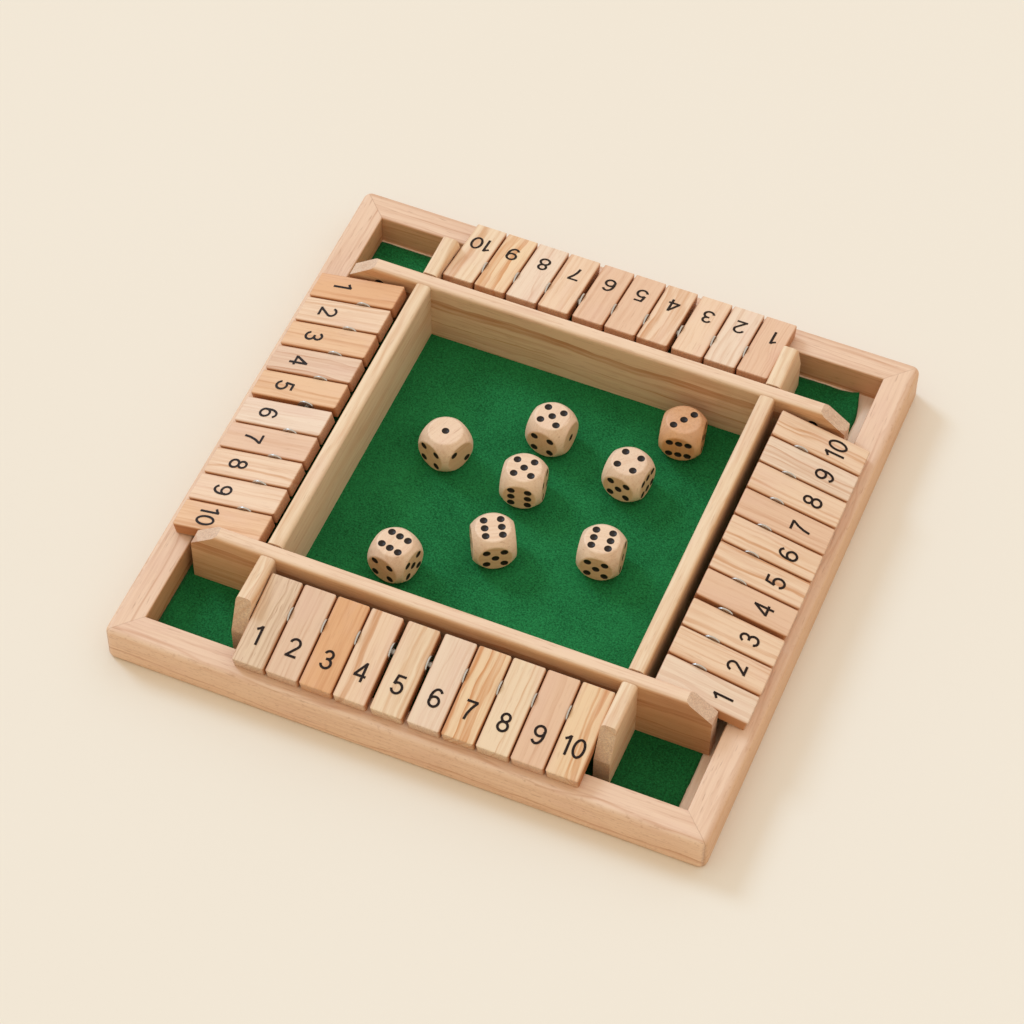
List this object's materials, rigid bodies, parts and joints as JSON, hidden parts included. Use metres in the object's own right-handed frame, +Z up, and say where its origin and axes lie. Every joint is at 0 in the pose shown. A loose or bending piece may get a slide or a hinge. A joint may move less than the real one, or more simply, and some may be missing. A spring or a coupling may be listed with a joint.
{
  "type": "shut the box game",
  "caption": "Square wooden dice game board with a felted tray and a row of flip-down numbered tiles on each side.",
  "frame": {"origin": "middle of the underside of the square board", "axes": "+X to the right along the front rail, +Y to the back, +Z up"},
  "size_m": [0.22, 0.22, 0.0295],
  "materials": {
    "frame_wood": "sanded pale pine, satin clear lacquer",
    "wall_wood": "sanded pale pine, satin clear lacquer",
    "panel_wood": "plain plywood face",
    "tile_wood": "sanded pale pine, tone varies from tile to tile",
    "die_wood": "tumbled pale beech, black painted pips",
    "felt": "short green felt",
    "rod_steel": "plain drawn wire rod",
    "washer_steel": "bright zinc"
  },
  "bodies": {
    "board": {"rail_front": "frame_wood", "rail_right": "frame_wood", "rail_back": "frame_wood", "rail_left": "frame_wood", "base_panel": "panel_wood", "felt": "felt", "long_wall_front": "wall_wood", "long_wall_back": "wall_wood", "tray_side_walls": "wall_wood", "stub_walls": "wall_wood", "rods": "rod_steel", "washers": "washer_steel"},
    "tile_front_01": {"tile_front_01": "tile_wood"},
    "tile_front_02": {"tile_front_02": "tile_wood"},
    "tile_front_03": {"tile_front_03": "tile_wood"},
    "tile_front_04": {"tile_front_04": "tile_wood"},
    "tile_front_05": {"tile_front_05": "tile_wood"},
    "tile_front_06": {"tile_front_06": "tile_wood"},
    "tile_front_07": {"tile_front_07": "tile_wood"},
    "tile_front_08": {"tile_front_08": "tile_wood"},
    "tile_front_09": {"tile_front_09": "tile_wood"},
    "tile_front_10": {"tile_front_10": "tile_wood"},
    "tile_right_01": {"tile_right_01": "tile_wood"},
    "tile_right_02": {"tile_right_02": "tile_wood"},
    "tile_right_03": {"tile_right_03": "tile_wood"},
    "tile_right_04": {"tile_right_04": "tile_wood"},
    "tile_right_05": {"tile_right_05": "tile_wood"},
    "tile_right_06": {"tile_right_06": "tile_wood"},
    "tile_right_07": {"tile_right_07": "tile_wood"},
    "tile_right_08": {"tile_right_08": "tile_wood"},
    "tile_right_09": {"tile_right_09": "tile_wood"},
    "tile_right_10": {"tile_right_10": "tile_wood"},
    "tile_back_01": {"tile_back_01": "tile_wood"},
    "tile_back_02": {"tile_back_02": "tile_wood"},
    "tile_back_03": {"tile_back_03": "tile_wood"},
    "tile_back_04": {"tile_back_04": "tile_wood"},
    "tile_back_05": {"tile_back_05": "tile_wood"},
    "tile_back_06": {"tile_back_06": "tile_wood"},
    "tile_back_07": {"tile_back_07": "tile_wood"},
    "tile_back_08": {"tile_back_08": "tile_wood"},
    "tile_back_09": {"tile_back_09": "tile_wood"},
    "tile_back_10": {"tile_back_10": "tile_wood"},
    "tile_left_01": {"tile_left_01": "tile_wood"},
    "tile_left_02": {"tile_left_02": "tile_wood"},
    "tile_left_03": {"tile_left_03": "tile_wood"},
    "tile_left_04": {"tile_left_04": "tile_wood"},
    "tile_left_05": {"tile_left_05": "tile_wood"},
    "tile_left_06": {"tile_left_06": "tile_wood"},
    "tile_left_07": {"tile_left_07": "tile_wood"},
    "tile_left_08": {"tile_left_08": "tile_wood"},
    "tile_left_09": {"tile_left_09": "tile_wood"},
    "tile_left_10": {"tile_left_10": "tile_wood"},
    "die_1": {"die_1": "die_wood"},
    "die_2": {"die_2": "die_wood"},
    "die_3": {"die_3": "die_wood"},
    "die_4": {"die_4": "die_wood"},
    "die_5": {"die_5": "die_wood"},
    "die_6": {"die_6": "die_wood"},
    "die_7": {"die_7": "die_wood"},
    "die_8": {"die_8": "die_wood"}
  },
  "joints": [
    {"name": "flip_front_01", "type": "hinge", "parent": "board", "child": "tile_front_01", "pos_m": [0, -0.084, 0.0222], "axis": [-1, 0, 0], "range_deg": [0, 158.8]},
    {"name": "flip_front_02", "type": "hinge", "parent": "board", "child": "tile_front_02", "pos_m": [0, -0.084, 0.0222], "axis": [-1, 0, 0], "range_deg": [0, 158.8]},
    {"name": "flip_front_03", "type": "hinge", "parent": "board", "child": "tile_front_03", "pos_m": [0, -0.084, 0.0222], "axis": [-1, 0, 0], "range_deg": [0, 158.8]},
    {"name": "flip_front_04", "type": "hinge", "parent": "board", "child": "tile_front_04", "pos_m": [0, -0.084, 0.0222], "axis": [-1, 0, 0], "range_deg": [0, 158.8]},
    {"name": "flip_front_05", "type": "hinge", "parent": "board", "child": "tile_front_05", "pos_m": [0, -0.084, 0.0222], "axis": [-1, 0, 0], "range_deg": [0, 158.8]},
    {"name": "flip_front_06", "type": "hinge", "parent": "board", "child": "tile_front_06", "pos_m": [0, -0.084, 0.0222], "axis": [-1, 0, 0], "range_deg": [0, 158.8]},
    {"name": "flip_front_07", "type": "hinge", "parent": "board", "child": "tile_front_07", "pos_m": [0, -0.084, 0.0222], "axis": [-1, 0, 0], "range_deg": [0, 158.8]},
    {"name": "flip_front_08", "type": "hinge", "parent": "board", "child": "tile_front_08", "pos_m": [0, -0.084, 0.0222], "axis": [-1, 0, 0], "range_deg": [0, 158.8]},
    {"name": "flip_front_09", "type": "hinge", "parent": "board", "child": "tile_front_09", "pos_m": [0, -0.084, 0.0222], "axis": [-1, 0, 0], "range_deg": [0, 158.8]},
    {"name": "flip_front_10", "type": "hinge", "parent": "board", "child": "tile_front_10", "pos_m": [0, -0.084, 0.0222], "axis": [-1, 0, 0], "range_deg": [0, 158.8]},
    {"name": "flip_right_01", "type": "hinge", "parent": "board", "child": "tile_right_01", "pos_m": [0.084, 0, 0.0222], "axis": [0, -1, 0], "range_deg": [0, 158.8]},
    {"name": "flip_right_02", "type": "hinge", "parent": "board", "child": "tile_right_02", "pos_m": [0.084, 0, 0.0222], "axis": [0, -1, 0], "range_deg": [0, 158.8]},
    {"name": "flip_right_03", "type": "hinge", "parent": "board", "child": "tile_right_03", "pos_m": [0.084, 0, 0.0222], "axis": [0, -1, 0], "range_deg": [0, 158.8]},
    {"name": "flip_right_04", "type": "hinge", "parent": "board", "child": "tile_right_04", "pos_m": [0.084, 0, 0.0222], "axis": [0, -1, 0], "range_deg": [0, 158.8]},
    {"name": "flip_right_05", "type": "hinge", "parent": "board", "child": "tile_right_05", "pos_m": [0.084, 0, 0.0222], "axis": [0, -1, 0], "range_deg": [0, 158.8]},
    {"name": "flip_right_06", "type": "hinge", "parent": "board", "child": "tile_right_06", "pos_m": [0.084, 0, 0.0222], "axis": [0, -1, 0], "range_deg": [0, 158.8]},
    {"name": "flip_right_07", "type": "hinge", "parent": "board", "child": "tile_right_07", "pos_m": [0.084, 0, 0.0222], "axis": [0, -1, 0], "range_deg": [0, 158.8]},
    {"name": "flip_right_08", "type": "hinge", "parent": "board", "child": "tile_right_08", "pos_m": [0.084, 0, 0.0222], "axis": [0, -1, 0], "range_deg": [0, 158.8]},
    {"name": "flip_right_09", "type": "hinge", "parent": "board", "child": "tile_right_09", "pos_m": [0.084, 0, 0.0222], "axis": [0, -1, 0], "range_deg": [0, 158.8]},
    {"name": "flip_right_10", "type": "hinge", "parent": "board", "child": "tile_right_10", "pos_m": [0.084, 0, 0.0222], "axis": [0, -1, 0], "range_deg": [0, 158.8]},
    {"name": "flip_back_01", "type": "hinge", "parent": "board", "child": "tile_back_01", "pos_m": [0, 0.084, 0.0222], "axis": [1, 0, 0], "range_deg": [0, 158.8]},
    {"name": "flip_back_02", "type": "hinge", "parent": "board", "child": "tile_back_02", "pos_m": [0, 0.084, 0.0222], "axis": [1, 0, 0], "range_deg": [0, 158.8]},
    {"name": "flip_back_03", "type": "hinge", "parent": "board", "child": "tile_back_03", "pos_m": [0, 0.084, 0.0222], "axis": [1, 0, 0], "range_deg": [0, 158.8]},
    {"name": "flip_back_04", "type": "hinge", "parent": "board", "child": "tile_back_04", "pos_m": [0, 0.084, 0.0222], "axis": [1, 0, 0], "range_deg": [0, 158.8]},
    {"name": "flip_back_05", "type": "hinge", "parent": "board", "child": "tile_back_05", "pos_m": [0, 0.084, 0.0222], "axis": [1, 0, 0], "range_deg": [0, 158.8]},
    {"name": "flip_back_06", "type": "hinge", "parent": "board", "child": "tile_back_06", "pos_m": [0, 0.084, 0.0222], "axis": [1, 0, 0], "range_deg": [0, 158.8]},
    {"name": "flip_back_07", "type": "hinge", "parent": "board", "child": "tile_back_07", "pos_m": [0, 0.084, 0.0222], "axis": [1, 0, 0], "range_deg": [0, 158.8]},
    {"name": "flip_back_08", "type": "hinge", "parent": "board", "child": "tile_back_08", "pos_m": [0, 0.084, 0.0222], "axis": [1, 0, 0], "range_deg": [0, 158.8]},
    {"name": "flip_back_09", "type": "hinge", "parent": "board", "child": "tile_back_09", "pos_m": [0, 0.084, 0.0222], "axis": [1, 0, 0], "range_deg": [0, 158.8]},
    {"name": "flip_back_10", "type": "hinge", "parent": "board", "child": "tile_back_10", "pos_m": [0, 0.084, 0.0222], "axis": [1, 0, 0], "range_deg": [0, 158.8]},
    {"name": "flip_left_01", "type": "hinge", "parent": "board", "child": "tile_left_01", "pos_m": [-0.084, 0, 0.0222], "axis": [0, 1, 0], "range_deg": [0, 158.8]},
    {"name": "flip_left_02", "type": "hinge", "parent": "board", "child": "tile_left_02", "pos_m": [-0.084, 0, 0.0222], "axis": [0, 1, 0], "range_deg": [0, 158.8]},
    {"name": "flip_left_03", "type": "hinge", "parent": "board", "child": "tile_left_03", "pos_m": [-0.084, 0, 0.0222], "axis": [0, 1, 0], "range_deg": [0, 158.8]},
    {"name": "flip_left_04", "type": "hinge", "parent": "board", "child": "tile_left_04", "pos_m": [-0.084, 0, 0.0222], "axis": [0, 1, 0], "range_deg": [0, 158.8]},
    {"name": "flip_left_05", "type": "hinge", "parent": "board", "child": "tile_left_05", "pos_m": [-0.084, 0, 0.0222], "axis": [0, 1, 0], "range_deg": [0, 158.8]},
    {"name": "flip_left_06", "type": "hinge", "parent": "board", "child": "tile_left_06", "pos_m": [-0.084, 0, 0.0222], "axis": [0, 1, 0], "range_deg": [0, 158.8]},
    {"name": "flip_left_07", "type": "hinge", "parent": "board", "child": "tile_left_07", "pos_m": [-0.084, 0, 0.0222], "axis": [0, 1, 0], "range_deg": [0, 158.8]},
    {"name": "flip_left_08", "type": "hinge", "parent": "board", "child": "tile_left_08", "pos_m": [-0.084, 0, 0.0222], "axis": [0, 1, 0], "range_deg": [0, 158.8]},
    {"name": "flip_left_09", "type": "hinge", "parent": "board", "child": "tile_left_09", "pos_m": [-0.084, 0, 0.0222], "axis": [0, 1, 0], "range_deg": [0, 158.8]},
    {"name": "flip_left_10", "type": "hinge", "parent": "board", "child": "tile_left_10", "pos_m": [-0.084, 0, 0.0222], "axis": [0, 1, 0], "range_deg": [0, 158.8]},
    {"name": "lift_die_1", "type": "slide", "parent": "board", "child": "die_1", "axis": [0, 0, 1], "range_m": [0, 0.04]},
    {"name": "lift_die_2", "type": "slide", "parent": "board", "child": "die_2", "axis": [0, 0, 1], "range_m": [0, 0.04]},
    {"name": "lift_die_3", "type": "slide", "parent": "board", "child": "die_3", "axis": [0, 0, 1], "range_m": [0, 0.04]},
    {"name": "lift_die_4", "type": "slide", "parent": "board", "child": "die_4", "axis": [0, 0, 1], "range_m": [0, 0.04]},
    {"name": "lift_die_5", "type": "slide", "parent": "board", "child": "die_5", "axis": [0, 0, 1], "range_m": [0, 0.04]},
    {"name": "lift_die_6", "type": "slide", "parent": "board", "child": "die_6", "axis": [0, 0, 1], "range_m": [0, 0.04]},
    {"name": "lift_die_7", "type": "slide", "parent": "board", "child": "die_7", "axis": [0, 0, 1], "range_m": [0, 0.04]},
    {"name": "lift_die_8", "type": "slide", "parent": "board", "child": "die_8", "axis": [0, 0, 1], "range_m": [0, 0.04]}
  ]
}
